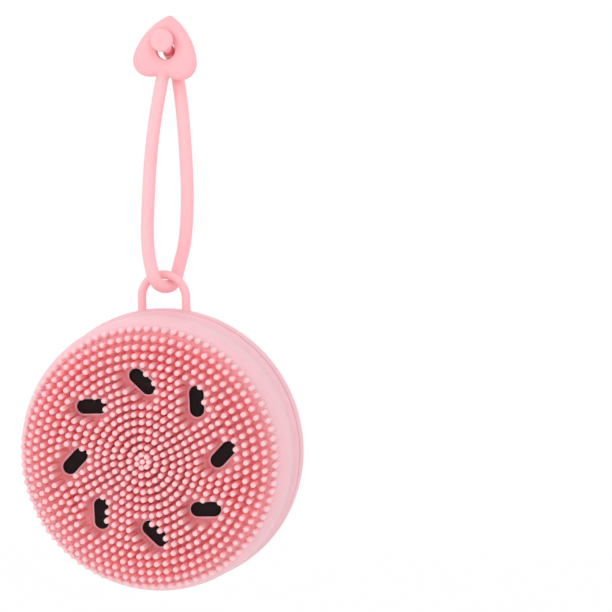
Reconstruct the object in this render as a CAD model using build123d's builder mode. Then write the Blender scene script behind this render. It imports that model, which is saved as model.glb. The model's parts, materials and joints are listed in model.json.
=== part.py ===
from build123d import *
import math
import os

# Facial cleansing brush on a hanging strap. Millimetres, +Z up, +X to the right.
# The bristle face looks towards -Y. The origin is the hook's place inside the strap,
# just under the heart. The head hangs from the strap on its ring.

# How it hangs
bar_drop = 54.0             # from the hook down to the middle of the ring's top bar
hang_lean = 7.5             # degrees, the lean at which the head's weight hangs below the bar

# Hanging ring
ring_wire = 2.5
ring_width = 15.9           # over the legs
ring_rise = 10.0            # from the head's rim to the middle of the top bar
anchor_length = 18.0
anchor_thickness = 1.9
anchor_depth = 3.4

# Head, measured from its axis and from the plane of the ring
rim_radius = 40.9           # widest circle, on the back shell
front_radius = 39.8         # side wall of the bristle shell
floor_height = 19.2         # flat middle of the bristle shell, in front of the ring
flat_radius = 24.5          # where the floor starts to round off
dome_radius = 17.5
step_height = 7.2           # the faint step round the side wall
step_depth = 0.35
lip_height = 2.3            # rear edge of the bristle shell
lip_round = 0.5
groove_width = 0.8
groove_depth = 1.1
back_depth = 5.9            # from the ring's plane to the flat back
rim_bulge = 14.0            # radius of the swelling of the back shell's band
back_round = 2.6
skin = 3.0                  # silicone under the bristles
core_radius = 34.2
back_skin = 2.4
spigot_height = 6.0
spigot_wall = 2.0
fit_gap = 0.1               # between pieces pushed together

# Bristles
bristle_length = 8.4
bristle_base = 1.15         # centre to corner at the floor
bristle_tip = 0.72
bristle_sides = 3           # each pin is a plain tapered prism here
first_ring = 1.85           # radius of the ring next to the middle bristle
ring_pitch = 2.37
ring_counts = [7, 13, 19, 26, 32, 38, 44, 50, 56, 61, 67, 67, 73, 79, 85, 91]
root_depth = 1.7            # how far each pin runs into the skin

# Seeds
seed_count = 8
seed_length = 9.0
seed_width = 4.2
seed_thickness = 1.6
seed_proud = 0.3
seed_circle = 22.3          # radius of the circle that the seeds lie on
seed_start = 93.6           # degrees round from +X to the first seed
seed_turn = 43.0            # degrees from the radius to a seed's long axis
boss_margin = 1.3           # rim of the raised oval round each seed
boss_height = 1.1
clear_margin = 1.3          # bare floor between a seed and the nearest bristles

# Strap
cord_diameter = 3.8
heart_lean = 6.7            # degrees, the heart's point leans to the right
heart_thickness = 3.6
heart_round = 1.3
heart_point = 1.0           # radius at the heart's point and in its cleft
hole_diameter = 5.8
hole_place = (0.2, 0.0, 11.6)
dish_radius = 5.6
dish_depth = 0.8
stem_length = 4.0
stud_diameter = 6.5
stud_thickness = 2.0
stud_round = 0.7
stud_gap = 0.15             # from the heart's face to the stud's head
stud_place = (-0.2, 14.5)   # x and z of the head's middle
neck_diameter = 2.4

# Strap's route, from the heart's cleft round the ring's bar and back up to the stud
cord_points = [
    (-0.9, 0.0, 3.4),
    (-2.5, 0.0, -4.6),
    (-4.6, -0.1, -18.5),
    (-5.5, -1.0, -33.0),
    (-4.7, -3.8, -43.0),
    (-2.8, -5.4, -50.2),
    (-2.0, -4.8, -57.55),
    (2.0, 4.8, -57.55),
    (2.9, 5.5, -50.0),
    (4.9, 4.6, -42.5),
    (6.1, 2.8, -31.5),
    (5.6, 2.3, -17.0),
    (3.9, 3.6, -3.6),
    (2.4, 4.9, 2.6),
    (0.6, 5.9, 8.5),
    (0.1, 0.9, 11.6),
]

head_drop = rim_radius + ring_rise
lean = math.radians(hang_lean)
down = Vector(0, math.sin(lean), -math.cos(lean))
face_out = Vector(0, -math.cos(lean), -math.sin(lean))
bar_centre = Vector(0, 0, -bar_drop)
head = Plane(origin=bar_centre + down * head_drop, x_dir=(1, 0, 0), z_dir=face_out)
head_side = Plane(origin=head.origin, x_dir=(1, 0, 0), z_dir=down)
head_axis = Axis(head.origin, face_out)

os.makedirs("parts", exist_ok=True)


def save(piece, label):
    piece.part.label = label
    export_step(piece.part, f"parts/{label}.step")
    return piece.part


def dome_drop(radius, dome=dome_radius):
    # how far the rounded floor has fallen away at a radius
    if radius <= flat_radius:
        return 0.0
    return dome - math.sqrt(dome ** 2 - (radius - flat_radius) ** 2)


def corner_radii(points):
    # one arc for each corner, as large as its two runs allow
    places = [Vector(*point) for point in points]
    radii = []
    for before, here, after in zip(places, places[1:], places[2:]):
        turn = math.radians((here - before).get_angle(after - here))
        run = min((here - before).length, (after - here).length)
        radii.append(0.45 * run / math.tan(turn / 2))
    return radii


# Bristle shell: floor, rounded shoulder and side wall in one soft skin
wall_top = floor_height - dome_drop(front_radius)
inner_top = floor_height - skin
cavity_radius = core_radius + fit_gap
cavity_top = inner_top - dome_drop(cavity_radius, dome_radius - skin)
spigot_radius = cavity_radius + spigot_wall

flat_share = math.cos(math.pi / bristle_sides)
draft = math.atan((bristle_base - bristle_tip) * flat_share / bristle_length)
with BuildPart() as bristle:
    with BuildSketch(Plane.XY):
        RegularPolygon(bristle_base, bristle_sides)
    extrude(amount=bristle_length + root_depth, taper=math.degrees(draft))

seed_spots = []
for index in range(seed_count):
    around = math.radians(seed_start + index * 360 / seed_count)
    seed_spots.append(
        Location(
            (seed_circle * math.cos(around), seed_circle * math.sin(around), floor_height),
            (0, 0, math.degrees(around) + seed_turn),
        )
    )
seed_planes = [Plane(head * spot) for spot in seed_spots]


def near_seed(x, y):
    # true where a bristle would stand on a seed's oval
    for spot in seed_spots:
        turn = math.radians(spot.orientation.Z)
        dx = x - spot.position.X
        dy = y - spot.position.Y
        along = abs(dx * math.cos(turn) + dy * math.sin(turn))
        across = abs(dy * math.cos(turn) - dx * math.sin(turn))
        past_end = max(along - (seed_length - seed_width) / 2, 0)
        if math.hypot(past_end, across) < seed_width / 2 + clear_margin:
            return True
    return False


bristle_spots = [Location((0, 0, floor_height - root_depth))]
for ring, count in enumerate(ring_counts):
    radius = first_ring + ring * ring_pitch
    for index in range(count):
        around = (index + ring % 2 / 2) * 2 * math.pi / count
        x = radius * math.cos(around)
        y = radius * math.sin(around)
        if not near_seed(x, y):
            foot = floor_height - dome_drop(radius) - root_depth
            bristle_spots.append(Location((x, y, foot), (0, 0, math.degrees(around))))

with BuildPart() as shell_blank:
    with BuildSketch(head_side):
        with BuildLine():
            Line((0, inner_top), (0, floor_height))
            Line((0, floor_height), (flat_radius, floor_height))
            RadiusArc((flat_radius, floor_height), (front_radius, wall_top), dome_radius)
            Polyline(
                (front_radius, wall_top),
                (front_radius, step_height),
                (front_radius - step_depth, step_height - step_depth),
                (front_radius, lip_height + lip_round),
                (front_radius - lip_round, lip_height),
                (spigot_radius + fit_gap, lip_height),
                (spigot_radius + fit_gap, spigot_height + fit_gap),
                (cavity_radius, spigot_height + fit_gap),
                (cavity_radius, cavity_top),
                (flat_radius, inner_top),
                (0, inner_top),
            )
        make_face()
    revolve(axis=head_axis)
    for seed_plane in seed_planes:
        with BuildSketch(seed_plane):
            SlotOverall(seed_length + 2 * boss_margin, seed_width + 2 * boss_margin)
        extrude(amount=boss_height, taper=20)
        with BuildSketch(seed_plane.offset(boss_height)):
            SlotOverall(seed_length + 2 * fit_gap, seed_width + 2 * fit_gap)
        extrude(amount=seed_proud - seed_thickness, mode=Mode.SUBTRACT)

with BuildPart() as bristle_pad:
    add(shell_blank.part)
    with Locations(*[head * spot for spot in bristle_spots]):
        add(bristle.part)
save(bristle_pad, "bristle_pad")


# Seeds, black inlays seated in the pockets of their ovals
for number, seed_plane in enumerate(seed_planes, start=1):
    with BuildPart() as seed:
        with BuildSketch(seed_plane.offset(boss_height + seed_proud - seed_thickness)):
            SlotOverall(seed_length, seed_width)
        extrude(amount=seed_thickness)
        chamfer(seed.faces().sort_by(head_axis)[-1].edges(), seed_proud)
    save(seed, f"seed_{number}")


# Back shell: smooth back, swollen band, and the spigot that the bristle shell is pushed over
back_face = -back_depth
cup_floor = back_face + back_skin
band_front = lip_height - groove_width
groove_radius = front_radius - groove_depth
bulge_centre = rim_radius - rim_bulge
front_edge = bulge_centre + math.sqrt(rim_bulge ** 2 - band_front ** 2)
rear_edge = bulge_centre + math.sqrt(rim_bulge ** 2 - back_face ** 2)
leg_place = (ring_width - ring_wire) / 2
anchor_top = cavity_radius + fit_gap + anchor_thickness
leg_roots = [
    Plane(origin=head.from_local_coords((side * leg_place, anchor_top, 0)), z_dir=head.y_dir)
    for side in (-1, 1)
]
anchor_plane = Plane(
    origin=head.from_local_coords((0, anchor_top, 0)), x_dir=(1, 0, 0), z_dir=head.y_dir
)

with BuildPart() as back_shell:
    with BuildSketch(head_side) as back_profile:
        with BuildLine():
            Polyline(
                (rear_edge, back_face),
                (0, back_face),
                (0, cup_floor),
                (cavity_radius, cup_floor),
                (cavity_radius, spigot_height),
                (spigot_radius, spigot_height),
                (spigot_radius, lip_height),
                (groove_radius, lip_height),
                (groove_radius, band_front),
                (front_edge, band_front),
            )
            ThreePointArc((front_edge, band_front), (rim_radius, 0), (rear_edge, back_face))
        make_face()
        fillet(back_profile.vertices().group_by(Axis.Y)[0].sort_by(Axis.X)[-1], back_round)
    revolve(axis=head_axis)
    with BuildSketch(anchor_plane.offset(fit_gap)):
        Rectangle(anchor_length + 2 * fit_gap, anchor_depth + 2 * fit_gap)
    extrude(amount=-anchor_length / 2, mode=Mode.SUBTRACT)
    with BuildSketch(*leg_roots):
        Circle(ring_wire / 2 + fit_gap)
    extrude(amount=rim_radius, mode=Mode.SUBTRACT)
save(back_shell, "back_shell")


# Inner core, the firm puck that both shells close over
core_top = inner_top - fit_gap
core_shoulder = cavity_top - fit_gap
with BuildPart() as inner_core:
    with BuildSketch(head_side):
        with BuildLine():
            Polyline(
                (0, core_top),
                (0, cup_floor + fit_gap),
                (core_radius, cup_floor + fit_gap),
                (core_radius, core_shoulder),
                (flat_radius, core_top),
                close=True,
            )
        make_face()
    revolve(axis=head_axis)
save(inner_core, "inner_core")


# Hanging ring: a round wire arch whose legs end in a bar buried in the back shell
arch_centre = head_drop - leg_place
with BuildPart() as hang_ring:
    with BuildLine(head) as arch:
        Line((-leg_place, anchor_top - anchor_thickness / 2), (-leg_place, arch_centre))
        ThreePointArc((-leg_place, arch_centre), (0, head_drop), (leg_place, arch_centre))
        Line((leg_place, arch_centre), (leg_place, anchor_top - anchor_thickness / 2))
    with BuildSketch(Plane(origin=arch.line @ 0, z_dir=arch.line % 0)):
        Circle(ring_wire / 2)
    sweep()
    with BuildSketch(anchor_plane):
        Rectangle(anchor_length, anchor_depth)
    extrude(amount=-anchor_thickness)
save(hang_ring, "hang_ring")


# Strap cord
cord_radii = corner_radii(cord_points)
with BuildPart() as strap_cord:
    with BuildLine() as route:
        FilletPolyline(*cord_points, radius=cord_radii)
    with BuildSketch(Plane(origin=route.line @ 0, z_dir=route.line % 0)):
        Circle(cord_diameter / 2)
    sweep()
save(strap_cord, "strap_cord")
cord_length = route.wire().length
tube_volume = math.pi * (cord_diameter / 2) ** 2 * cord_length
print(f"cord length {cord_length:.1f} mm, tube {strap_cord.part.volume:.0f} of {tube_volume:.0f} mm3")
print("cord radii", [round(radius, 1) for radius in cord_radii])


# Heart tab: soft-edged heart with a buttonhole, and the stem that the cord grows from
heart_tilt = math.radians(heart_lean)
heart = Plane(
    origin=hole_place,
    x_dir=(math.cos(heart_tilt), 0, -math.sin(heart_tilt)),
    z_dir=(0, -1, 0),
)
dish_ball = (dish_radius ** 2 + dish_depth ** 2) / (2 * dish_depth)
stem_start = Vector(*cord_points[0])
stem_way = stem_start - Vector(*cord_points[1])
with BuildPart() as heart_tab:
    with BuildSketch(heart.offset(-heart_thickness / 2)) as heart_outline:
        with BuildLine():
            side = ThreePointArc((0, 10.5), (6.6, 4.1), (9.6, -3.4))
            lobe = TangentArc((9.6, -3.4), (5.4, -8.4), tangent=side % 1)
            TangentArc((5.4, -8.4), (0, -6.9), tangent=lobe % 1)
            mirror(about=Plane.YZ)
        make_face()
        fillet(heart_outline.vertices().filter_by_position(Axis.X, -0.1, 0.1), heart_point)
    extrude(amount=heart_thickness)
    fillet(heart_tab.edges(), heart_round)
    with BuildSketch(Plane(origin=stem_start, z_dir=stem_way)):
        Circle(cord_diameter / 2)
    extrude(amount=stem_length)
    for face in (-1, 1):
        ball_centre = face * (heart_thickness / 2 - dish_depth + dish_ball)
        with Locations(heart.offset(ball_centre)):
            Sphere(dish_ball, mode=Mode.SUBTRACT)
    with BuildSketch(heart.offset(-heart_thickness)):
        Circle(hole_diameter / 2)
    extrude(amount=2 * heart_thickness, mode=Mode.SUBTRACT)
save(heart_tab, "heart_tab")


# Button stud: flat round head in front of the heart, leaning neck through the hole
neck_foot = Vector(*cord_points[-1])
neck_way = (neck_foot - Vector(*cord_points[-2])).normalized()
stud_face = -heart_thickness / 2 - stud_gap
stud_back = Vector(stud_place[0], stud_face, stud_place[1])
neck_length = (stud_face - stud_thickness / 2 - neck_foot.Y) / neck_way.Y
with BuildPart() as button_stud:
    with BuildSketch(Plane(origin=stud_back, z_dir=(0, -1, 0))):
        Circle(stud_diameter / 2)
    extrude(amount=stud_thickness)
    fillet(button_stud.edges(), stud_round)
    with BuildSketch(Plane(origin=neck_foot, z_dir=neck_way)):
        Circle(neck_diameter / 2)
    extrude(amount=neck_length)
save(button_stud, "button_stud")
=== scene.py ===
import json
import math

import bmesh
import bpy
from mathutils import Matrix, Quaternion, Vector


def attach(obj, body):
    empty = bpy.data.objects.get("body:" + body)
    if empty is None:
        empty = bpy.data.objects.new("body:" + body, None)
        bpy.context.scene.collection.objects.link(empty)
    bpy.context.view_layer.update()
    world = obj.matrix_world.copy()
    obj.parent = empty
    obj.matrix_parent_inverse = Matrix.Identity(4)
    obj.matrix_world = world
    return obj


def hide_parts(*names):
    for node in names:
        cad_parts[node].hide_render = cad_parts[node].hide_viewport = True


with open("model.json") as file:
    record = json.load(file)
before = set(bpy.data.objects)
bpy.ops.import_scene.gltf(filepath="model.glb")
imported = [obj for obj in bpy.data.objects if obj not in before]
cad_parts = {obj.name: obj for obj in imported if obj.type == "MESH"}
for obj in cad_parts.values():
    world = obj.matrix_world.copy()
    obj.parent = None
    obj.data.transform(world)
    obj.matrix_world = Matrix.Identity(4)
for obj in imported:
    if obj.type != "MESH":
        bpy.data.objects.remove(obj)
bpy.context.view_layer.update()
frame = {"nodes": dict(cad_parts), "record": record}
mm = 0.001  # sizes below are in millimetres unless they say otherwise

# where the head is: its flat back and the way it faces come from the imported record
backRest = next(m for m in frame["record"]["mounts"] if m["name"] == "back_rest")
backDepth = 5.9
faceOut = -Vector(backRest["axis"])
headUp = Vector((0, faceOut.z, -faceOut.y))
headOrigin = Vector(backRest["pos_m"]) + faceOut * backDepth * mm
headPlace = Matrix((Vector((1, 0, 0)), headUp, faceOut)).transposed().to_4x4()
headPlace.translation = headOrigin


def headPoint(x, y, z):
    return headPlace @ Vector((x * mm, y * mm, z * mm))


view = {
    "azimuth": 16.15,
    "elevation": 2.38,
    "roll": 0.6,
    "distance": 1.2,
    "tipPlane": 27.6,     # from the ring's plane to the bristle tips
    "aimRight": 46.9,
    "aimUp": 45.4,
    "lens": 245.1,
}


def makeCamera():
    turn = math.radians(view["azimuth"])
    rise = math.radians(view["elevation"])
    level = math.cos(rise)
    back = Vector((math.sin(turn) * level, -math.cos(turn) * level, math.sin(rise)))
    right = Vector((math.cos(turn), math.sin(turn), 0))
    up = back.cross(right)
    tipCentre = headPoint(0, 0, view["tipPlane"])
    cameraData = bpy.data.cameras.new("camera")
    cameraData.lens = view["lens"]
    cameraData.sensor_width = 36
    cameraData.clip_start = 0.05
    cameraData.clip_end = 20
    camera = bpy.data.objects.new("camera", cameraData)
    bpy.context.scene.collection.objects.link(camera)
    camera.location = tipCentre + back * view["distance"]
    target = tipCentre + right * view["aimRight"] * mm + up * view["aimUp"] * mm
    aim = (target - camera.location).to_track_quat("-Z", "Y")
    roll = Quaternion((0, 0, 1), math.radians(view["roll"]))
    camera.rotation_euler = (aim @ roll).to_euler()
    bpy.context.scene.camera = camera


makeCamera()
print("camera placed")


def newMaterial(name):
    material = bpy.data.materials.new(name)
    material.use_nodes = True
    nodes = material.node_tree.nodes
    nodes.clear()
    output = nodes.new("ShaderNodeOutputMaterial")
    shader = nodes.new("ShaderNodeBsdfPrincipled")
    material.node_tree.links.new(shader.outputs["BSDF"], output.inputs["Surface"])
    return material, nodes, material.node_tree.links, shader


def mathNode(nodes, links, operation, first, second=None, clamp=False):
    # a maths node fed by sockets or plain numbers
    node = nodes.new("ShaderNodeMath")
    node.operation = operation
    node.use_clamp = clamp
    for socket, value in zip(node.inputs, (first, second)):
        if isinstance(value, (int, float)):
            socket.default_value = value
        elif value is not None:
            links.new(value, socket)
    return node.outputs["Value"]


def shareBetween(nodes, links, value, low, high):
    # 0 at one length, 1 at the other, both in millimetres
    ranger = nodes.new("ShaderNodeMapRange")
    ranger.inputs["From Min"].default_value = low * mm
    ranger.inputs["From Max"].default_value = high * mm
    links.new(value, ranger.inputs["Value"])
    return ranger.outputs["Result"]


def fineGrain(nodes, links, shader, grain):
    # moulded silicone: a faint unevenness in gloss and a very shallow grain
    where = nodes.new("ShaderNodeTexCoord")
    cloud = nodes.new("ShaderNodeTexNoise")
    cloud.inputs["Scale"].default_value = grain["cloudScale"]
    cloud.inputs["Detail"].default_value = 4
    links.new(where.outputs["Object"], cloud.inputs["Vector"])
    gloss = nodes.new("ShaderNodeMapRange")
    gloss.inputs["From Min"].default_value = grain["tone"][0]
    gloss.inputs["From Max"].default_value = grain["tone"][1]
    gloss.inputs["To Min"].default_value = grain["roughLow"]
    gloss.inputs["To Max"].default_value = grain["roughHigh"]
    links.new(cloud.outputs["Fac"], gloss.inputs["Value"])
    links.new(gloss.outputs["Result"], shader.inputs["Roughness"])
    skin = nodes.new("ShaderNodeTexNoise")
    skin.inputs["Scale"].default_value = grain["skinScale"]
    skin.inputs["Detail"].default_value = 3
    links.new(where.outputs["Object"], skin.inputs["Vector"])
    bump = nodes.new("ShaderNodeBump")
    bump.inputs["Strength"].default_value = grain["bumpStrength"]
    bump.inputs["Distance"].default_value = grain["bumpDepth"] * mm
    links.new(skin.outputs["Fac"], bump.inputs["Height"])
    links.new(bump.outputs["Normal"], shader.inputs["Normal"])
    return cloud


def colourBetween(nodes, links, shader, factor, low, high, lowAt=0.0, highAt=1.0):
    ramp = nodes.new("ShaderNodeValToRGB")
    ramp.color_ramp.interpolation = "EASE"
    ramp.color_ramp.elements[0].position = lowAt
    ramp.color_ramp.elements[0].color = (*low, 1)
    ramp.color_ramp.elements[1].position = highAt
    ramp.color_ramp.elements[1].color = (*high, 1)
    links.new(factor, ramp.inputs["Fac"])
    links.new(ramp.outputs["Color"], shader.inputs["Base Color"])
    return ramp


siliconeGrain = {
    "cloudScale": 60.0,
    "tone": (0.3, 0.7),      # where the cloud turns from deep to pale
    "roughLow": 0.42,
    "roughHigh": 0.52,
    "skinScale": 2600.0,
    "bumpStrength": 0.12,
    "bumpDepth": 0.02,
}
silicone = {
    "shellDeep": (0.80, 0.475, 0.53),
    "shellPale": (0.84, 0.515, 0.57),
    # painted shade for the floor among the bristles
    "paintedFieldShade": (0.98, 0.49, 0.52),
    # painted shade towards the pins' feet, where they shade one another
    "paintedPinFootShade": (0.98, 0.50, 0.53),
    "pinTip": (0.97, 0.55, 0.58),
    # the strap's silicone painted darker for the heart and stud, as shade on faces the lamps light
    # most
    "shadedHeartDeep": (0.90, 0.44, 0.475),
    "shadedHeartPale": (0.93, 0.47, 0.505),
    "strapDeep": (0.92, 0.48, 0.515),
    "strapPale": (0.95, 0.51, 0.545),
    # painted shade for the neck and the hole's wall inside the buttonhole
    "paintedHoleShade": (0.72, 0.13, 0.17),
    "pinFade": (0.2, 0.85),  # shares of a pin's length
    "seedDark": (0.008, 0.005, 0.006),
    "seedLight": (0.014, 0.009, 0.010),
    "seedGloss": 0.12,
    "coreDark": (0.78, 0.78, 0.75),
    "coreLight": (0.84, 0.84, 0.82),
    "scatter": 0.15,
    "pinScatter": 0.55,      # thin pins let more light through
    "scatterDepth": 2.2,     # how far light spreads in the silicone
    "scatterTint": (1.0, 0.45, 0.4),
}


def soften(shader, amount):
    shader.inputs["Subsurface Weight"].default_value = amount
    shader.inputs["Subsurface Radius"].default_value = silicone["scatterTint"]
    shader.inputs["Subsurface Scale"].default_value = silicone["scatterDepth"] * mm


def mouldedMaterial(name, deep, pale, scatter=0.0, gloss=0.5):
    # one smooth moulding, a little uneven in colour
    material, nodes, links, shader = newMaterial(name)
    cloud = fineGrain(nodes, links, shader, siliconeGrain)
    colourBetween(nodes, links, shader, cloud.outputs["Fac"], deep, pale, *siliconeGrain["tone"])
    shader.inputs["Specular IOR Level"].default_value = gloss
    soften(shader, scatter)
    return material


def floorSilicone():
    # the same silicone, with painted shade: redder on the floor between the bristles, fading to
    # the shell's colour at the rim
    material, nodes, links, shader = newMaterial("floor silicone")
    fineGrain(nodes, links, shader, siliconeGrain)
    field = nodes.new("ShaderNodeAttribute")
    field.attribute_name = "paintedFieldShadeShare"
    pale, deep = silicone["shellPale"], silicone["paintedFieldShade"]
    colourBetween(nodes, links, shader, field.outputs["Fac"], pale, deep)
    soften(shader, silicone["pinScatter"])
    return material


def bristleSilicone():
    material, nodes, links, shader = newMaterial("bristle silicone")
    fineGrain(nodes, links, shader, siliconeGrain)
    along = nodes.new("ShaderNodeAttribute")
    along.attribute_name = "alongPin"
    # painted shade: the colour deepens from the tip down to the foot
    foot, tip = silicone["paintedPinFootShade"], silicone["pinTip"]
    colourBetween(nodes, links, shader, along.outputs["Fac"], foot, tip, *silicone["pinFade"])
    soften(shader, silicone["pinScatter"])
    return material


shellMaterial = mouldedMaterial(
    "shell silicone", silicone["shellDeep"], silicone["shellPale"], silicone["scatter"]
)
strapMaterial = mouldedMaterial(
    "strap silicone", silicone["strapDeep"], silicone["strapPale"], silicone["scatter"]
)
seedMaterial = mouldedMaterial(
    "seed silicone", silicone["seedDark"], silicone["seedLight"], gloss=silicone["seedGloss"]
)
coreMaterial = mouldedMaterial("core plastic", silicone["coreDark"], silicone["coreLight"])
floorMaterial = floorSilicone()
bristleMaterial = bristleSilicone()
print("materials made")


def settle(name, mesh, body, replaced=(), material=None):
    # the mesh becomes a piece that rides on its body
    if material:
        mesh.materials.clear()
        mesh.materials.append(material)
    piece = bpy.data.objects.new(name, mesh)
    bpy.context.scene.collection.objects.link(piece)
    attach(piece, body)
    if replaced:
        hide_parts(*replaced)
    return piece


def smoothMesh(name, bm):
    bmesh.ops.recalc_face_normals(bm, faces=bm.faces)
    mesh = bpy.data.meshes.new(name)
    bm.to_mesh(mesh)
    bm.free()
    mesh.shade_smooth()
    return mesh


def finishPiece(name, bm, material, body, replaced=()):
    return settle(name, smoothMesh(name, bm), body, replaced, material)


def bakeObject(name, mesh, addModifiers):
    # the mesh with its modifiers applied, as a plain mesh
    source = bpy.data.objects.new("rough " + name, mesh)
    bpy.context.scene.collection.objects.link(source)
    addModifiers(source)
    bpy.context.view_layer.update()
    evaluated = source.evaluated_get(bpy.context.evaluated_depsgraph_get())
    plain = bpy.data.meshes.new_from_object(evaluated)
    plain.name = name
    bpy.data.objects.remove(source)
    return plain


def fusePiece(name, bm, grain, material, body, replaced):
    # overlapping closed shapes become one moulding with soft joints

    def fuseAndEase(source):
        fuse = source.modifiers.new("one moulding", "REMESH")
        fuse.mode = "VOXEL"
        fuse.voxel_size = grain * mm
        ease = source.modifiers.new("soft edges", "SMOOTH")
        ease.factor = 0.5
        ease.iterations = 5

    plain = bakeObject(name, smoothMesh("rough " + name, bm), fuseAndEase)
    plain.shade_smooth()
    return settle(name, plain, body, replaced, material)


def roundedProfile(corners, steps=5):
    # corners are (radius from the axis, height, rounding); rounded ones become short curves
    points = []
    count = len(corners)
    for index, (x, y, rounding) in enumerate(corners):
        here = Vector((x, y))
        if rounding <= 0 or index in (0, count - 1):
            points.append(here)
            continue
        before = Vector(corners[index - 1][:2]) - here
        after = Vector(corners[index + 1][:2]) - here
        opening = before.angle(after)
        reach = min(rounding / math.tan(opening / 2), before.length * 0.49, after.length * 0.49)
        start = here + before.normalized() * reach
        end = here + after.normalized() * reach
        for step in range(steps + 1):
            share = step / steps
            first = start.lerp(here, share)
            second = here.lerp(end, share)
            points.append(first.lerp(second, share))
    return points


def revolve(bm, points, segments, place):
    # a closed body of revolution about the place's own z axis
    rings = []
    for point in points:
        if point.x < 1e-6:
            rings.append([bm.verts.new(place @ Vector((0, 0, point.y * mm)))])
            continue
        ring = []
        for index in range(segments):
            around = 2 * math.pi * index / segments
            across, forward = point.x * math.cos(around), point.x * math.sin(around)
            ring.append(bm.verts.new(place @ (Vector((across, forward, point.y)) * mm)))
        rings.append(ring)
    for low, high in zip(rings, rings[1:]):
        for index in range(segments):
            follow = (index + 1) % segments
            if len(low) == 1 and len(high) == 1:
                continue
            if len(low) == 1:
                bm.faces.new((low[0], high[index], high[follow]))
            elif len(high) == 1:
                bm.faces.new((low[index], high[0], low[follow]))
            else:
                bm.faces.new((low[index], high[index], high[follow], low[follow]))
    return rings


def smoothStep(value, low, high):
    share = min(max((value - low) / (high - low), 0.0), 1.0)
    return share * share * (3 - 2 * share)


seeds = {
    "count": 8,
    "length": 9.0,
    "width": 4.2,
    "circle": 22.3,
    "start": 93.6,
    "turn": 43.0,
    "bossMargin": 1.3,
    "bossHeight": 1.1,
    "bossLevel": 0.25,       # flat rim round the seed before the oval slopes down
    "bossFade": 0.3,         # how far the slope runs past the margin
    "clearMargin": 1.3,
    "proud": 0.3,
    "depth": 1.3,
    "pocketEase": (-0.25, 0.1),
    # painted light round a seed, where fewer bristles shade the floor: how much, and from and to
    # how far outside it
    "paintedLightRings": [(0.5, 0.1, 0.5), (0.4, 0.6, 2.2)],
    "skirt": 1.5,            # from the seed's top to its underside
    "bevel": 0.05,
    "topRound": 0.5,
    "topRise": 0.42,
    "crown": [(0.6, 0.03), (0.3, 0.01)],    # share of the half width, and how far below the top
    "endSteps": 20,
}


def seedPlaces():
    places = []
    for index in range(seeds["count"]):
        around = math.radians(seeds["start"] + index * 360 / seeds["count"])
        turn = around + math.radians(seeds["turn"])
        spot = (seeds["circle"] * math.cos(around), seeds["circle"] * math.sin(around))
        places.append((*spot, turn))
    return places


def slotDistance(x, y, place):
    # from the line down the middle of a seed
    dx, dy = x - place[0], y - place[1]
    along = abs(dx * math.cos(place[2]) + dy * math.sin(place[2]))
    across = abs(dy * math.cos(place[2]) - dx * math.sin(place[2]))
    return math.hypot(max(along - (seeds["length"] - seeds["width"]) / 2, 0), across)


shell = {
    "floorHeight": 19.2,
    "flatRadius": 35.2,
    "shoulderRound": 5.0,
    "wallRadius": 40.2,
    "stepHeight": 10.0,
    "stepDepth": 0.9,
    "stepSlope": 0.5,
    "stepRound": 0.5,
    "waistRound": 0.3,
    "flareHeight": 2.6,      # the wall starts to flare this far in front of the lip
    "flareRound": 1.5,
    "lipRadius": 40.65,
    "lipHeight": 2.3,
    "lipRound": 0.5,
    "lipEdges": (0.3, 0.2),
    "segments": 480,
    "fineStep": 0.33,
    "fineFrom": 15.5,
    "fineTo": 29.2,
    "coarseStep": 0.75,
    "shoulderSteps": 18,
    "fieldFrom": 34.6,       # the painted shade of the bristle field fades out from here
    "fieldTo": 37.8,
    "collarRadius": 36.45,   # the push fit over the back shell
    "collarHeight": 6.1,
    "collarRound": 0.1,
    "cavityRadius": 34.3,
    "cavityShoulder": 12.4,
    "cavityFlat": 24.5,
    "cavityTop": 16.2,
    "cavityRound": 0.5,
    "topTolerance": 0.05,    # what counts as lying on the floor
}


def fallAway(radius, flat, rounding):
    # how far a crown has dropped at a radius, past its flat middle
    past = max(radius - flat, 0)
    return rounding - math.sqrt(max(rounding ** 2 - past ** 2, 0))


def floorDrop(radius):
    return fallAway(radius, shell["flatRadius"], shell["shoulderRound"])


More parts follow.
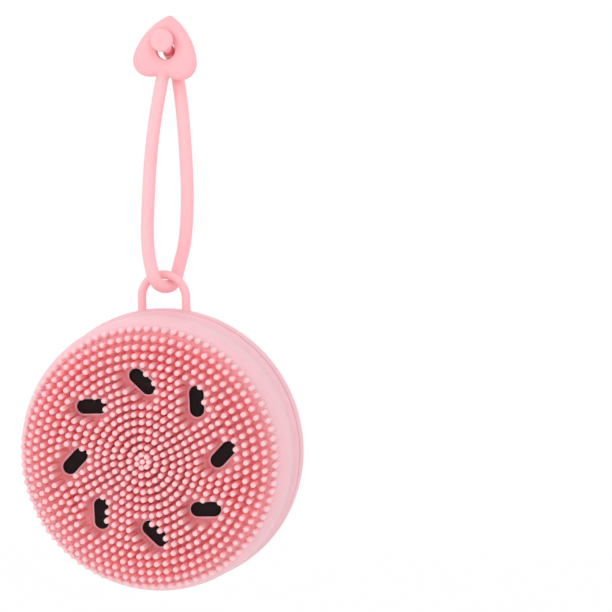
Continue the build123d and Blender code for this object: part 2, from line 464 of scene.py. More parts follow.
def makeShell():
    places = seedPlaces()
    halfSeed = seeds["width"] / 2
    radii = [0.0]
    while radii[-1] < shell["flatRadius"]:
        fine = shell["fineFrom"] < radii[-1] < shell["fineTo"]
        radii.append(radii[-1] + (shell["fineStep"] if fine else shell["coarseStep"]))
    radii[-1] = shell["flatRadius"]
    for step in range(1, shell["shoulderSteps"] + 1):
        turn = math.pi / 2 * step / shell["shoulderSteps"]
        radii.append(shell["flatRadius"] + shell["shoulderRound"] * math.sin(turn))
    bm = bmesh.new()
    paintedFieldShadeShare = bm.verts.layers.float.new("paintedFieldShadeShare")
    wallTop = shell["floorHeight"] - floorDrop(shell["wallRadius"])
    profile = [Vector((radius, shell["floorHeight"] - floorDrop(radius))) for radius in radii]
    waist = shell["wallRadius"] - shell["stepDepth"]
    lip, lipRound = shell["lipHeight"], shell["lipRound"]
    wall = roundedProfile(
        [
            (shell["wallRadius"], wallTop, 0),
            (shell["wallRadius"], shell["stepHeight"], shell["stepRound"]),
            (waist, shell["stepHeight"] - shell["stepSlope"], shell["waistRound"]),
            (waist, lip + shell["flareHeight"], shell["flareRound"]),
            (shell["lipRadius"], lip + lipRound, shell["lipEdges"][0]),
            (shell["lipRadius"] - lipRound, lip, shell["lipEdges"][1]),
            (shell["collarRadius"], lip, shell["collarRound"]),
            (shell["collarRadius"], shell["collarHeight"], shell["collarRound"]),
            (shell["cavityRadius"], shell["collarHeight"], shell["collarRound"]),
            (shell["cavityRadius"], shell["cavityShoulder"], shell["cavityRound"]),
            (shell["cavityFlat"], shell["cavityTop"], shell["cavityRound"]),
            (0, shell["cavityTop"], 0),
        ]
    )
    revolve(bm, profile + wall[1:], shell["segments"], headPlace)
    toHead = headPlace.inverted()
    for vert in bm.verts:
        spot = (toHead @ vert.co) / mm
        radius = math.hypot(spot.x, spot.y)
        level = shell["floorHeight"] - floorDrop(min(radius, shell["wallRadius"]))
        onTop = spot.z > level - shell["topTolerance"]
        if not onTop or radius > shell["wallRadius"]:
            continue
        # painted shade on the floor inside the bristle field
        vert[paintedFieldShadeShare] = 1 - smoothStep(radius, shell["fieldFrom"], shell["fieldTo"])
        if not shell["fineFrom"] < radius < shell["fineTo"]:
            continue
        away = min(slotDistance(spot.x, spot.y, place) for place in places)
        outside = away - halfSeed
        slopeEnd = seeds["bossMargin"] + seeds["bossFade"]
        rise = seeds["bossHeight"] * (1 - smoothStep(outside, seeds["bossLevel"], slopeEnd))
        pocket = seeds["depth"] * (1 - smoothStep(outside, *seeds["pocketEase"]))
        vert.co += faceOut * (rise - pocket) * mm
        # painted light: less of the field's painted shade close to a seed
        for amount, ringFrom, ringTo in seeds["paintedLightRings"]:
            vert[paintedFieldShadeShare] *= 1 - amount * (1 - smoothStep(outside, ringFrom, ringTo))
    return finishPiece("bristle_shell", bm, floorMaterial, "brush_head")


makeShell()
print("bristle shell made")


bristles = {
    "length": 8.4,
    "footRadius": 0.97,
    "tipRadius": 0.84,
    "sides": 9,
    "firstRing": 1.85,
    "ringPitch": 2.37,
    "ringCounts": [7, 13, 19, 26, 32, 38, 44, 50, 56, 61, 67, 67, 73, 79, 85, 91],
    # their tips lie on a flatter crown than the floor, so the outer ones are short
    "crownFlat": 24.5,
    "crownRound": 17.5,
    "sink": 0.3,             # below the floor, so that no gap shows at the foot
    "sway": 0.9,             # degrees, how far a pin may stand off true
    "outwardLean": 5.0,      # degrees, at the rounded edge
    "leanFull": 38,          # radius from which the lean is full
    "stops": 9,              # points along a pin
    # points crowd towards the tip, where the rounding is
    "crowding": [(0.25, 0.5), (0.375, 0.91), (0.625, 0.96)],
    "tipPower": 2.4,         # how blunt the rounded tip is
    "thinnest": 0.05,
    "randomSeed": 7,
}


def bristleFeet():
    places = seedPlaces()
    reach = seeds["width"] / 2 + seeds["clearMargin"]
    feet = [(0.0, 0.0)]
    for ring, count in enumerate(bristles["ringCounts"]):
        radius = bristles["firstRing"] + ring * bristles["ringPitch"]
        for index in range(count):
            around = (index + ring % 2 / 2) * 2 * math.pi / count
            x, y = radius * math.cos(around), radius * math.sin(around)
            if min(slotDistance(x, y, place) for place in places) >= reach:
                feet.append((x, y))
    return feet


def bristleTree():
    tree = bpy.data.node_groups.new("bristle field", "GeometryNodeTree")
    face = tree.interface
    face.new_socket("Feet", in_out="INPUT", socket_type="NodeSocketGeometry")
    sizes = [
        ("Pin Length", "NodeSocketFloat", bristles["length"] * mm),
        ("Foot Radius", "NodeSocketFloat", bristles["footRadius"] * mm),
        ("Tip Radius", "NodeSocketFloat", bristles["tipRadius"] * mm),
        ("Sides", "NodeSocketInt", bristles["sides"]),
        ("Sway", "NodeSocketFloat", math.radians(bristles["sway"])),
        ("Random Seed", "NodeSocketInt", bristles["randomSeed"]),
    ]
    for label, kind, value in sizes:
        socket = face.new_socket(label, in_out="INPUT", socket_type=kind)
        socket.default_value = value
    face.new_socket("Geometry", in_out="OUTPUT", socket_type="NodeSocketGeometry")
    nodes, links = tree.nodes, tree.links
    entry = nodes.new("NodeGroupInput")
    leave = nodes.new("NodeGroupOutput")

    # one pin: a short line, thick at the foot and rounded off at the tip
    top = nodes.new("ShaderNodeCombineXYZ")
    links.new(entry.outputs["Pin Length"], top.inputs["Z"])
    line = nodes.new("GeometryNodeCurvePrimitiveLine")
    links.new(top.outputs["Vector"], line.inputs["End"])
    split = nodes.new("GeometryNodeResampleCurve")
    split.inputs["Count"].default_value = bristles["stops"]
    links.new(line.outputs["Curve"], split.inputs["Curve"])
    share = nodes.new("GeometryNodeSplineParameter")
    crowd = nodes.new("ShaderNodeFloatCurve")
    curve = crowd.mapping.curves[0]
    curve.points[0].location = (0.0, 0.0)
    curve.points[1].location = (1.0, 1.0)
    for spot in bristles["crowding"]:
        curve.points.new(*spot)
    for point in curve.points:
        point.handle_type = "VECTOR"
    crowd.mapping.update()
    links.new(share.outputs["Factor"], crowd.inputs["Value"])
    along = nodes.new("GeometryNodeCaptureAttribute")
    along.capture_items.new("FLOAT", "Along")
    links.new(split.outputs["Curve"], along.inputs["Geometry"])
    links.new(crowd.outputs["Value"], along.inputs["Along"])
    alongPin, pinLength = along.outputs["Along"], entry.outputs["Pin Length"]
    height = mathNode(nodes, links, "MULTIPLY", alongPin, pinLength)
    spot = nodes.new("ShaderNodeCombineXYZ")
    links.new(height, spot.inputs["Z"])
    place = nodes.new("GeometryNodeSetPosition")
    links.new(along.outputs["Geometry"], place.inputs["Geometry"])
    links.new(spot.outputs["Vector"], place.inputs["Position"])

    # radius: straight taper, and a round end over the last tip radius
    taper = nodes.new("ShaderNodeMapRange")
    links.new(alongPin, taper.inputs["Value"])
    links.new(entry.outputs["Foot Radius"], taper.inputs["To Min"])
    links.new(entry.outputs["Tip Radius"], taper.inputs["To Max"])
    left = mathNode(nodes, links, "SUBTRACT", pinLength, height)
    ratio = mathNode(nodes, links, "DIVIDE", left, entry.outputs["Tip Radius"], clamp=True)
    inverse = mathNode(nodes, links, "SUBTRACT", 1.0, ratio)
    power = mathNode(nodes, links, "POWER", inverse, bristles["tipPower"])
    root = mathNode(nodes, links, "SQRT", mathNode(nodes, links, "SUBTRACT", 1.0, power))
    thick = mathNode(nodes, links, "MULTIPLY", taper.outputs["Result"], root)
    keep = mathNode(nodes, links, "MAXIMUM", thick, bristles["thinnest"] * mm)
    ringShape = nodes.new("GeometryNodeCurvePrimitiveCircle")
    ringShape.inputs["Radius"].default_value = 1.0
    links.new(entry.outputs["Sides"], ringShape.inputs["Resolution"])
    skin = nodes.new("GeometryNodeCurveToMesh")
    skin.inputs["Fill Caps"].default_value = True
    links.new(place.outputs["Geometry"], skin.inputs["Curve"])
    links.new(ringShape.outputs["Curve"], skin.inputs["Profile Curve"])
    links.new(keep, skin.inputs["Scale"])
    mark = nodes.new("GeometryNodeStoreNamedAttribute")
    mark.data_type = "FLOAT"
    mark.inputs["Name"].default_value = "alongPin"
    links.new(skin.outputs["Mesh"], mark.inputs["Geometry"])
    links.new(alongPin, mark.inputs["Value"])

    # one pin on every foot, turned to the foot's own direction with a little sway
    aim = nodes.new("GeometryNodeInputNamedAttribute")
    aim.data_type = "FLOAT_VECTOR"
    aim.inputs["Name"].default_value = "pinWay"
    swayLow = mathNode(nodes, links, "MULTIPLY", entry.outputs["Sway"], -1.0)
    chance = nodes.new("FunctionNodeRandomValue")
    chance.data_type = "FLOAT_VECTOR"
    links.new(swayLow, chance.inputs[0])
    links.new(entry.outputs["Sway"], chance.inputs[1])
    links.new(entry.outputs["Random Seed"], chance.inputs["Seed"])
    nudged = nodes.new("ShaderNodeVectorMath")
    nudged.operation = "ADD"
    links.new(aim.outputs["Attribute"], nudged.inputs[0])
    links.new(chance.outputs[0], nudged.inputs[1])
    turn = nodes.new("FunctionNodeAlignRotationToVector")
    turn.axis = "Z"
    links.new(nudged.outputs["Vector"], turn.inputs["Vector"])
    scatter = nodes.new("GeometryNodeInstanceOnPoints")
    links.new(entry.outputs["Feet"], scatter.inputs["Points"])
    links.new(mark.outputs["Geometry"], scatter.inputs["Instance"])
    links.new(turn.outputs["Rotation"], scatter.inputs["Rotation"])
    real = nodes.new("GeometryNodeRealizeInstances")
    links.new(scatter.outputs["Instances"], real.inputs["Geometry"])
    smooth = nodes.new("GeometryNodeSetShadeSmooth")
    links.new(real.outputs["Geometry"], smooth.inputs["Geometry"])
    paint = nodes.new("GeometryNodeSetMaterial")
    paint.inputs["Material"].default_value = bristleMaterial
    links.new(smooth.outputs["Geometry"], paint.inputs["Geometry"])
    links.new(paint.outputs["Geometry"], leave.inputs["Geometry"])
    return tree


def makeBristles():
    feet = bristleFeet()
    mesh = bpy.data.meshes.new("bristle feet")
    spots, ways = [], []
    for x, y in feet:
        radius = math.hypot(x, y)
        tilt = smoothStep(radius, bristles["crownFlat"], bristles["leanFull"])
        lean = math.radians(bristles["outwardLean"]) * tilt
        outward = Vector((x, y, 0)).normalized() if radius > 0 else Vector((0, 0, 0))
        way = Vector((0, 0, math.cos(lean))) + outward * math.sin(lean)
        drop = fallAway(radius, bristles["crownFlat"], bristles["crownRound"])
        base = Vector((x, y, shell["floorHeight"] - drop - bristles["sink"]))
        base -= outward * math.sin(lean) * bristles["length"] * 0.5
        spots.append(headPoint(*base))
        ways.append(headPlace.to_3x3() @ way)
    mesh.from_pydata(spots, [], [])
    aim = mesh.attributes.new("pinWay", "FLOAT_VECTOR", "POINT")
    aim.data.foreach_set("vector", [value for way in ways for value in way])
    tree = bristleTree()
    inputs = [item for item in tree.interface.items_tree if item.in_out == "INPUT"]
    sockets = {item.name: item.identifier for item in inputs}

    def plantPins(source):
        modifier = source.modifiers.new("bristle field", "NODES")
        modifier.node_group = tree
        modifier[sockets["Pin Length"]] = (bristles["length"] + bristles["sink"]) * mm

    plain = bakeObject("bristle_field", mesh, plantPins)
    print("bristles made:", len(feet), "pins,", len(plain.polygons), "faces")
    settle("bristle_field", plain, "brush_head", ("bristle_pad",))


makeBristles()


def makeSeed(number, place):
    # a pill with a softly rounded top, seated in its oval
    bm = bmesh.new()
    half = seeds["width"] / 2
    reach = (seeds["length"] - seeds["width"]) / 2
    top = shell["floorHeight"] + seeds["bossHeight"] + seeds["proud"]
    bottom = top - seeds["skirt"]
    bevel, rounding, rise = seeds["bevel"], seeds["topRound"], seeds["topRise"]
    layers = [(0.0, bottom), (half - bevel, bottom), (half, bottom + 2 * bevel)]
    layers.append((half, top - rounding - bevel))
    for step in range(1, 6):
        turn = step * math.pi / 12
        inset = half - rounding + rounding * math.cos(turn)
        layers.append((inset, top - rounding + rise * math.sin(turn)))
    layers += [(half * share, top - drop) for share, drop in seeds["crown"]]
    turn = Matrix.Rotation(place[2], 4, "Z")
    shift = Matrix.Translation(Vector((place[0], place[1], 0)) * mm)
    spot = headPlace @ shift @ turn
    steps = seeds["endSteps"]
    rings = []
    for inset, height in layers:
        ring = []
        for side in (1, -1):
            for step in range(steps + 1):
                around = -math.pi / 2 + math.pi * step / steps
                x = side * (reach + max(inset, 0.02) * math.cos(around))
                y = side * max(inset, 0.02) * math.sin(around)
                ring.append(bm.verts.new(spot @ (Vector((x, y, height)) * mm)))
        rings.append(ring)
    for low, high in zip(rings, rings[1:]):
        for index in range(len(low)):
            follow = (index + 1) % len(low)
            bm.faces.new((low[index], low[follow], high[follow], high[index]))
    bm.faces.new(rings[0])
    bm.faces.new(rings[-1])
    bmesh.ops.triangulate(bm, faces=[face for face in bm.faces if len(face.verts) > 4])
    replaced = (f"seed_{number}",)
    finishPiece(f"seed_inlay_{number}", bm, seedMaterial, "brush_head", replaced)


for number, place in enumerate(seedPlaces(), start=1):
    makeSeed(number, place)
print("seeds made")


backShell = {
    "rimRadius": 40.9,
    "bulge": 9.0,
    "bandFront": 1.75,
    "grooveRadius": 39.6,
    "backRound": 2.6,
    "frontRound": 0.8,
    "bandRear": -3.2,
    "bandSteps": 9,
    "grooveRound": 0.3,
    "ledge": 2.28,           # just behind the bristle shell's lip
    "ledgeRounds": (0.05, 0.1),
    "spigotRadius": 36.3,
    "spigotTop": 6.0,
    "spigotRound": 0.2,
    "pocketRadius": 34.3,
    "pocketFloor": -3.5,
    "pocketRound": 0.5,
    "segments": 240,
}


def makeBackShell():
    centre = backShell["rimRadius"] - backShell["bulge"]

    def bandRadius(height):
        return centre + math.sqrt(backShell["bulge"] ** 2 - height ** 2)

    front, rear = backShell["bandFront"], backShell["bandRear"]
    groove, ledge = backShell["grooveRadius"], backShell["ledge"]
    spigot, spigotTop = backShell["spigotRadius"], backShell["spigotTop"]
    pocket, pocketFloor = backShell["pocketRadius"], backShell["pocketFloor"]
    corners = [(0, -backDepth, 0), (bandRadius(-backDepth), -backDepth, backShell["backRound"])]
    for step in range(1, backShell["bandSteps"]):
        height = rear + (front - rear) * step / backShell["bandSteps"]
        corners.append((bandRadius(height), height, 0))
    corners += [
        (bandRadius(front), front, backShell["frontRound"]),
        (groove, front, backShell["grooveRound"]),
        (groove, ledge, backShell["ledgeRounds"][0]),
        (spigot, ledge, backShell["ledgeRounds"][1]),
        (spigot, spigotTop, backShell["spigotRound"]),
        (pocket, spigotTop, backShell["spigotRound"]),
        (pocket, pocketFloor, backShell["pocketRound"]),
        (0, pocketFloor, 0),
    ]
    bm = bmesh.new()
    revolve(bm, roundedProfile(corners, 8), backShell["segments"], headPlace)
    finishPiece("back_cup", bm, shellMaterial, "brush_head", ("back_shell",))


makeBackShell()
frame["nodes"]["inner_core"].data.materials.clear()
frame["nodes"]["inner_core"].data.materials.append(coreMaterial)
print("back shell made")


def sweepTube(bm, points, radii, sides=28):
    # a closed tube through the points, turned along the path without twist
    rings = []
    way = (points[1] - points[0]).normalized()
    across = way.orthogonal().normalized()
    for index, point in enumerate(points):
        before = points[max(index - 1, 0)]
        after = points[min(index + 1, len(points) - 1)]
        newWay = (after - before).normalized()
        across = (way.rotation_difference(newWay) @ across).normalized()
        way = newWay
        other = way.cross(across)
        ring = []
        for side in range(sides):
            around = 2 * math.pi * side / sides
            offset = across * math.cos(around) + other * math.sin(around)
            ring.append(bm.verts.new(point + offset * radii[index]))
        rings.append(ring)
    for low, high in zip(rings, rings[1:]):
        for side in range(sides):
            follow = (side + 1) % sides
            bm.faces.new((low[side], low[follow], high[follow], high[side]))
    bm.faces.new(rings[0])
    bm.faces.new(rings[-1])


ring = {
    "wire": 2.5,
    "width": 15.9,
    "rise": 10.0,
    "rimRadius": 40.9,
    "root": 38.8,            # how deep the legs reach
    "legSteps": (0, 0.7, 1.3, 1.6, 1.9, 2.2, 2.6, 3.3, 4.3),
    "archSteps": 32,
    "sides": 32,
    "flare": 0.08,
    "flareSpan": (-0.2, 0.9),
}


def makeRing():
    legPlace = (ring["width"] - ring["wire"]) / 2
    top = ring["rimRadius"] + ring["rise"]
    archCentre = top - legPlace
    heights = [ring["root"] + rise for rise in ring["legSteps"]]
    line = [(-legPlace, height) for height in heights]
    for step in range(ring["archSteps"] + 1):
        around = math.pi - math.pi * step / ring["archSteps"]
        line.append((legPlace * math.cos(around), archCentre + legPlace * math.sin(around)))
    line += [(legPlace, height) for height in reversed(heights)]
    points, radii = [], []
    for x, y in line:
        # the legs widen a little where they grow out of the band
        rim = math.sqrt(ring["rimRadius"] ** 2 - x ** 2)
        flare = ring["flare"] * (1 - smoothStep(y - rim, *ring["flareSpan"]))
        points.append(headPoint(x, y, 0))
        radii.append((ring["wire"] / 2 + flare) * mm)
    bm = bmesh.new()
    sweepTube(bm, points, radii, ring["sides"])
    finishPiece("ring_loop", bm, strapMaterial, "brush_head", ("hang_ring",))


makeRing()
print("ring made")


strap = {
    "thickness": 3.8,
    "route": [
        (-0.9, 0.0, 3.4),
        (-2.5, 0.0, -4.6),
        (-4.2, -0.1, -18.5),
        (-4.6, -1.0, -33.0),
        (-4.0, -3.8, -43.0),
        (-2.8, -5.3, -50.0),
        (-0.8, -4.8, -57.5),
        (2.0, 4.8, -57.6),
        (3.3, 5.6, -50.8),
        (5.3, 4.7, -44.5),
        (6.4, 2.9, -32.0),
        (5.7, 2.3, -17.0),
        (4.0, 3.6, -3.6),
        (2.6, 4.9, 2.6),
        (1.4, 5.7, 8.3),
        (0.8, 0.9, 11.3),
    ],
}


def makeStrap():
    curve = bpy.data.curves.new("strap_loop", "CURVE")
    curve.dimensions = "3D"
    curve.bevel_depth = strap["thickness"] / 2 * mm
    curve.bevel_resolution = 7
    curve.resolution_u = 16
    curve.use_fill_caps = True
    spline = curve.splines.new("NURBS")
    spline.points.add(len(strap["route"]) - 1)
    for point, place in zip(spline.points, strap["route"]):
        point.co = (place[0] * mm, place[1] * mm, place[2] * mm, 1)
    spline.order_u = 3
    spline.use_endpoint_u = True
    return settle("strap_loop", curve, "strap", ("strap_cord",), strapMaterial)


strapLoop = makeStrap()
print("strap made")


heart = {
    "lean": 6.7,
    "place": (0.2, 0.0, 11.6),
    "thickness": 3.6,
    "holeRadius": 2.75,
    "holeRound": 0.45,
    # right half of the outline: its top, arcs as start, middle, end and steps, its cleft
    "top": 10.25,
    "sideArcs": [
        ((0.75, 9.9), (6.8, 4.2), (9.6, -2.5), 24),
        ((9.6, -2.5), (8.7, -6.4), (5.4, -8.3), 14),
        ((5.4, -8.3), (2.4, -8.0), (0.6, -7.1), 10),
    ],
    "cleft": -6.95,
    "edgeRound": 2.6,        # how far in from the outline the soft edge reaches
    "edgePower": 2.3,
    "dishRadius": 5.8,
    "dishDepth": 1.0,
    "dishLevel": 0.35,       # share of the dish's radius that is flat
    "rays": 144,
    "holeSteps": 4,
    "faceSteps": 22,
    "faceSpread": 1.9,       # crowds the steps towards the outline
    # the cord's end grows into the heart: x, z and radius up the stem
    "stem": [
        (-1.15, 2.3, 1.86),
        (-0.9, 3.4, 1.9),
        (-0.7, 4.4, 1.88),
        (-0.5, 5.4, 1.6),
        (-0.3, 6.4, 0.9),
    ],
    "stemSides": 28,
    "grain": 0.14,           # size of the cells that fuse heart and stem
    # the painted shade in the hole: from and to how far outside it, and from and to which y
    "shadeReach": (0.75, 0.15),
    "shadeDepth": (-1.4, 0.2),
}


def heartSilicone():
    # a darker copy of the strap's silicone, as painted shade on the heart's face, with deeper
    # painted shade inside the buttonhole
    material, nodes, links, shader = newMaterial("heart silicone")
    cloud = fineGrain(nodes, links, shader, siliconeGrain)
    where = nodes.new("ShaderNodeTexCoord")
    split = nodes.new("ShaderNodeSeparateXYZ")
    links.new(where.outputs["Object"], split.inputs["Vector"])
    offset = nodes.new("ShaderNodeVectorMath")
    offset.operation = "SUBTRACT"
    offset.inputs[1].default_value = Vector(heart["place"]) * mm
    links.new(where.outputs["Object"], offset.inputs[0])
    flat = nodes.new("ShaderNodeVectorMath")
    flat.operation = "MULTIPLY"
    flat.inputs[1].default_value = (1, 0, 1)
    links.new(offset.outputs["Vector"], flat.inputs[0])
    reach = nodes.new("ShaderNodeVectorMath")
    reach.operation = "LENGTH"
    links.new(flat.outputs["Vector"], reach.inputs[0])
    holeEdge = [heart["holeRadius"] + gap for gap in heart["shadeReach"]]
    inside = shareBetween(nodes, links, reach.outputs["Value"], *holeEdge)
    deep = shareBetween(nodes, links, split.outputs["Y"], *heart["shadeDepth"])
    colours = silicone["shadedHeartDeep"], silicone["shadedHeartPale"]
    tone = siliconeGrain["tone"]
    ramp = colourBetween(nodes, links, shader, cloud.outputs["Fac"], *colours, *tone)
    # painted shade inside the buttonhole, mixed over the heart's colour
    shade = nodes.new("ShaderNodeMix")
    shade.data_type = "RGBA"
    shade.inputs["B"].default_value = (*silicone["paintedHoleShade"], 1)
    links.new(mathNode(nodes, links, "MULTIPLY", inside, deep), shade.inputs["Factor"])
    links.new(ramp.outputs["Color"], shade.inputs["A"])
    links.new(shade.outputs["Result"], shader.inputs["Base Color"])
    soften(shader, silicone["scatter"])
    return material


def arcThrough(start, middle, end, steps):
    # points of the circle arc through three places
    ax, ay = start
    bx, by = middle
    cx, cy = end
    d = 2 * (ax * (by - cy) + bx * (cy - ay) + cx * (ay - by))
    a, b, c = ax ** 2 + ay ** 2, bx ** 2 + by ** 2, cx ** 2 + cy ** 2
    ux = (a * (by - cy) + b * (cy - ay) + c * (ay - by)) / d
    uy = (a * (cx - bx) + b * (ax - cx) + c * (bx - ax)) / d
    radius = math.hypot(ax - ux, ay - uy)
    first = math.atan2(ay - uy, ax - ux)
    sweep = (math.atan2(cy - uy, cx - ux) - first + math.pi) % (2 * math.pi) - math.pi
    turns = [first + sweep * step / steps for step in range(steps + 1)]
    return [(ux + radius * math.cos(turn), uy + radius * math.sin(turn)) for turn in turns]


def heartOutline():
    # from the point down the right side to the cleft, and up the left side
    side = []
    for arc in heart["sideArcs"]:
        side += arcThrough(*arc)[1 if side else 0:]
    left = [(-x, y) for x, y in reversed(side)]
    return [(0, heart["top"])] + side + [(0, heart["cleft"])] + left


def outlineReach(outline, direction):
    # how far the outline is from the hole's middle in one direction
    best = 0.0
    dx, dy = direction
    for (ax, ay), (bx, by) in zip(outline, outline[1:] + outline[:1]):
        ex, ey = bx - ax, by - ay
        across = dx * ey - dy * ex
        if abs(across) < 1e-12:
            continue
        far = (ax * ey - ay * ex) / across
        share = (ax * dy - ay * dx) / across
        if far > 0 and -1e-6 <= share <= 1 + 1e-6:
            best = max(best, far)
    return best


def outlineDistance(outline, x, y):
    best = 1e9
    for (ax, ay), (bx, by) in zip(outline, outline[1:] + outline[:1]):
        ex, ey = bx - ax, by - ay
        share = ((x - ax) * ex + (y - ay) * ey) / (ex * ex + ey * ey + 1e-12)
        share = min(max(share, 0), 1)
        best = min(best, math.hypot(x - ax - share * ex, y - ay - share * ey))
    return best


def makeHeart():
    outline = heartOutline()
    lean = math.radians(heart["lean"])
    place = Matrix(
        (
            (math.cos(lean), math.sin(lean), 0, heart["place"][0] * mm),
            (0, 0, -1, heart["place"][1] * mm),
            (-math.sin(lean), math.cos(lean), 0, heart["place"][2] * mm),
            (0, 0, 0, 1),
        )
    )
    half = heart["thickness"] / 2

    def surface(x, y):
        # height of the front above the middle plane
        inward = outlineDistance(outline, x, y)
        soft = min(inward / heart["edgeRound"], 1.0)
        height = half * math.sqrt(max(1 - (1 - soft) ** heart["edgePower"], 0))
        reach = math.hypot(x, y) / heart["dishRadius"]
        height -= heart["dishDepth"] * (1 - smoothStep(reach, heart["dishLevel"], 1.0))
        return height

    bm = bmesh.new()
    columns = []
    inner, rounding = heart["holeRadius"], heart["holeRound"]
    holeSteps, faceSteps = heart["holeSteps"], heart["faceSteps"]
    for ray in range(heart["rays"]):
        around = 2 * math.pi * (ray + 0.5) / heart["rays"]
        way = (math.cos(around), math.sin(around))
        reach = outlineReach(outline, way)
        start = inner + rounding
        wallTop = surface(way[0] * start, way[1] * start)
        front = [(inner, 0.0), (inner, 0.5 * (wallTop - rounding))]
        for step in range(holeSteps + 1):
            turn = math.pi / 2 * step / holeSteps
            drop = rounding * (1 - math.sin(turn))
            front.append((inner + rounding * (1 - math.cos(turn)), wallTop - drop))
        for step in range(1, faceSteps):
            radius = start + (reach - start) * (1 - (1 - step / faceSteps) ** heart["faceSpread"])
            front.append((radius, surface(way[0] * radius, way[1] * radius)))
        front.append((reach, 0.0))
        back = [(radius, -height) for radius, height in reversed(front[1:-1])]
        spots = [Vector((way[0] * r, way[1] * r, h)) * mm for r, h in front + back]
        columns.append([bm.verts.new(place @ spot) for spot in spots])
    for low, high in zip(columns, columns[1:] + columns[:1]):
        for index in range(len(low)):
            follow = (index + 1) % len(low)
            bm.faces.new((low[index], low[follow], high[follow], high[index]))
    points = [Vector((x, 0, z)) * mm for x, z, radius in heart["stem"]]
    radii = [radius * mm for x, z, radius in heart["stem"]]
    sweepTube(bm, points, radii, heart["stemSides"])
    name, grain, material = "heart_buttonhole", heart["grain"], heartSilicone()
    return fusePiece(name, bm, grain, material, "strap", ("heart_tab",))


heartTab = makeHeart()
print("heart made")


stud = {
    "radius": 3.4,
    "thickness": 2.0,
    "backEdge": 0.6,
    "edge": 0.75,
    "crown": 0.1,
    "edgeSteps": 8,
    "segments": 56,
    "place": (-0.35, -1.95, 14.3),   # middle of the head's back face
    "neckRadius": 1.7,
    "neckSides": 28,
    "neckSteps": 12,
    "overlap": 0.8,          # how far the neck runs into the strap and into the head
    "play": 0.04,            # the neck starts this much slimmer than the strap
    "thinSpan": (0.05, 0.55),    # shares of the neck over which it thins and then swells
    "footSpan": (0.62, 0.95),
    "footSwell": 0.5,
    "grain": 0.12,
    # the neck's painted shade: half its run along y, and shares where it comes and goes
    "shadeRun": 2.4,
    "shadeEnds": (0.12, 0.9),
    "shadeFull": (0.3, 0.7),
}


def studSilicone():
    # as the heart, with painted shade on the neck inside the buttonhole
    material, nodes, links, shader = newMaterial("stud silicone")
    fineGrain(nodes, links, shader, siliconeGrain)
    where = nodes.new("ShaderNodeTexCoord")
    split = nodes.new("ShaderNodeSeparateXYZ")
    links.new(where.outputs["Object"], split.inputs["Vector"])
    depth = shareBetween(nodes, links, split.outputs["Y"], -stud["shadeRun"], stud["shadeRun"])
    # painted shade: the heart's darker copy of the strap's silicone
    pale = silicone["shadedHeartPale"]
    ramp = colourBetween(nodes, links, shader, depth, pale, pale, *stud["shadeEnds"])
    # painted shade in the middle of the neck's run
    for share in stud["shadeFull"]:
        ramp.color_ramp.elements.new(share).color = (*silicone["paintedHoleShade"], 1)
    soften(shader, silicone["scatter"])
    return material


def makeStud():
    bm = bmesh.new()
    lying = Matrix.Rotation(math.pi / 2, 4, "X")
    place = Matrix.Translation(Vector(stud["place"]) * mm) @ lying
    profile = roundedProfile(
        [
            (0, 0, 0),
            (stud["radius"], 0, stud["backEdge"]),
            (stud["radius"], stud["thickness"], stud["edge"]),
            (0, stud["thickness"] + stud["crown"], 0),
        ],
        stud["edgeSteps"],
    )
    revolve(bm, profile, stud["segments"], place)
    start = Vector(strap["route"][-1]) * mm
    way = (start - Vector(strap["route"][-2]) * mm).normalized()
    overlap = stud["overlap"] * mm
    neckLength = (stud["place"][1] * mm - overlap - start.y) / way.y
    full = strap["thickness"] / 2 - stud["play"]
    points, radii = [], []
    for step in range(stud["neckSteps"] + 1):
        share = step / stud["neckSteps"]
        points.append(start + way * (-overlap + (neckLength + overlap) * share))
        thin = smoothStep(share, *stud["thinSpan"])
        foot = smoothStep(share, *stud["footSpan"])
        radius = full - thin * (full - stud["neckRadius"]) + foot * stud["footSwell"]
        radii.append(radius * mm)
    sweepTube(bm, points, radii, stud["neckSides"])
    name, grain, material = "stud_head", stud["grain"], studSilicone()
    return fusePiece(name, bm, grain, material, "strap", ("button_stud",))


studHead = makeStud()
print("stud made")


studio = {
    "floorDepth": 0.32,      # metres below the hook
    "floorWhite": 0.95,
    "worldStrength": 1.0,
    "worldTint": (1.0, 0.985, 0.98),
    "floorHalf": 3.0,
    "floorTone": (0.9, 0.9, 0.9),
    "floorRough": 0.7,
    "keyPower": 2.4,
    "keyPlace": (-0.7, -1.0, 0.45),
    "fillPower": 1.7,
    "fillPlace": (0.45, -1.1, -0.05),
    "lampSize": 0.9,
    "lampAim": (0, 10, 15),  # millimetres on the head
    "bounces": 24,
    "diffuseBounces": 16,    # light reaches the floor between the bristles
}


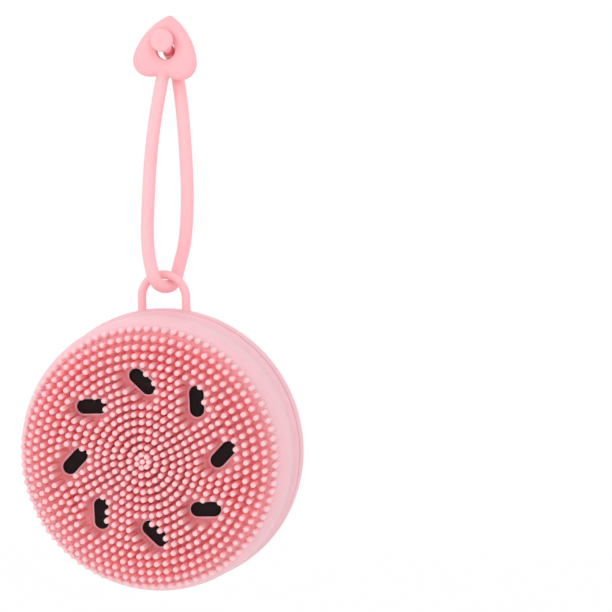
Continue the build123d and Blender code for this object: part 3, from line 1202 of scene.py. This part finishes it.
def makeFloor():
    bm = bmesh.new()
    half = studio["floorHalf"]
    corners = [(-half, -half), (half, -half), (half, half), (-half, half)]
    bm.faces.new([bm.verts.new((x, y, -studio["floorDepth"])) for x, y in corners])
    mesh = bpy.data.meshes.new("floor")
    bm.to_mesh(mesh)
    bm.free()
    floor = bpy.data.objects.new("floor", mesh)
    bpy.context.scene.collection.objects.link(floor)
    material, nodes, links, shader = newMaterial("floor white")
    shader.inputs["Base Color"].default_value = (*studio["floorTone"], 1)
    shader.inputs["Roughness"].default_value = studio["floorRough"]
    glow = nodes.new("ShaderNodeEmission")
    path = nodes.new("ShaderNodeLightPath")
    share = mathNode(nodes, links, "MULTIPLY", path.outputs["Is Camera Ray"], studio["floorWhite"])
    mix = nodes.new("ShaderNodeMixShader")
    links.new(share, mix.inputs["Fac"])
    links.new(shader.outputs["BSDF"], mix.inputs[1])
    links.new(glow.outputs["Emission"], mix.inputs[2])
    output = next(node for node in nodes if node.type == "OUTPUT_MATERIAL")
    links.new(mix.outputs["Shader"], output.inputs["Surface"])
    mesh.materials.append(material)


def makeWorld():
    world = bpy.data.worlds.new("studio")
    bpy.context.scene.world = world
    world.use_nodes = True
    nodes, links = world.node_tree.nodes, world.node_tree.links
    nodes.clear()
    output = nodes.new("ShaderNodeOutputWorld")
    soft = nodes.new("ShaderNodeBackground")
    soft.inputs["Color"].default_value = (*studio["worldTint"], 1)
    soft.inputs["Strength"].default_value = studio["worldStrength"]
    white = nodes.new("ShaderNodeBackground")
    white.inputs["Color"].default_value = (1, 1, 1, 1)
    white.inputs["Strength"].default_value = 1.0
    path = nodes.new("ShaderNodeLightPath")
    cameraRay, glossyRay = path.outputs["Is Camera Ray"], path.outputs["Is Glossy Ray"]
    either = mathNode(nodes, links, "MAXIMUM", cameraRay, glossyRay)
    mix = nodes.new("ShaderNodeMixShader")
    links.new(either, mix.inputs["Fac"])
    links.new(soft.outputs["Background"], mix.inputs[1])
    links.new(white.outputs["Background"], mix.inputs[2])
    links.new(mix.outputs["Shader"], output.inputs["Surface"])


def makeLamp(name, place, power):
    data = bpy.data.lights.new(name, "AREA")
    data.energy = power
    data.size = studio["lampSize"]
    lamp = bpy.data.objects.new(name, data)
    bpy.context.scene.collection.objects.link(lamp)
    lamp.location = place
    middle = headPoint(*studio["lampAim"])
    lamp.rotation_euler = (middle - lamp.location).to_track_quat("-Z", "Y").to_euler()


makeFloor()
makeWorld()
makeLamp("key", studio["keyPlace"], studio["keyPower"])
makeLamp("fill", studio["fillPlace"], studio["fillPower"])
bpy.context.scene.view_settings.view_transform = "Standard"
bpy.context.scene.cycles.max_bounces = studio["bounces"]
bpy.context.scene.cycles.diffuse_bounces = studio["diffuseBounces"]
print("light set")
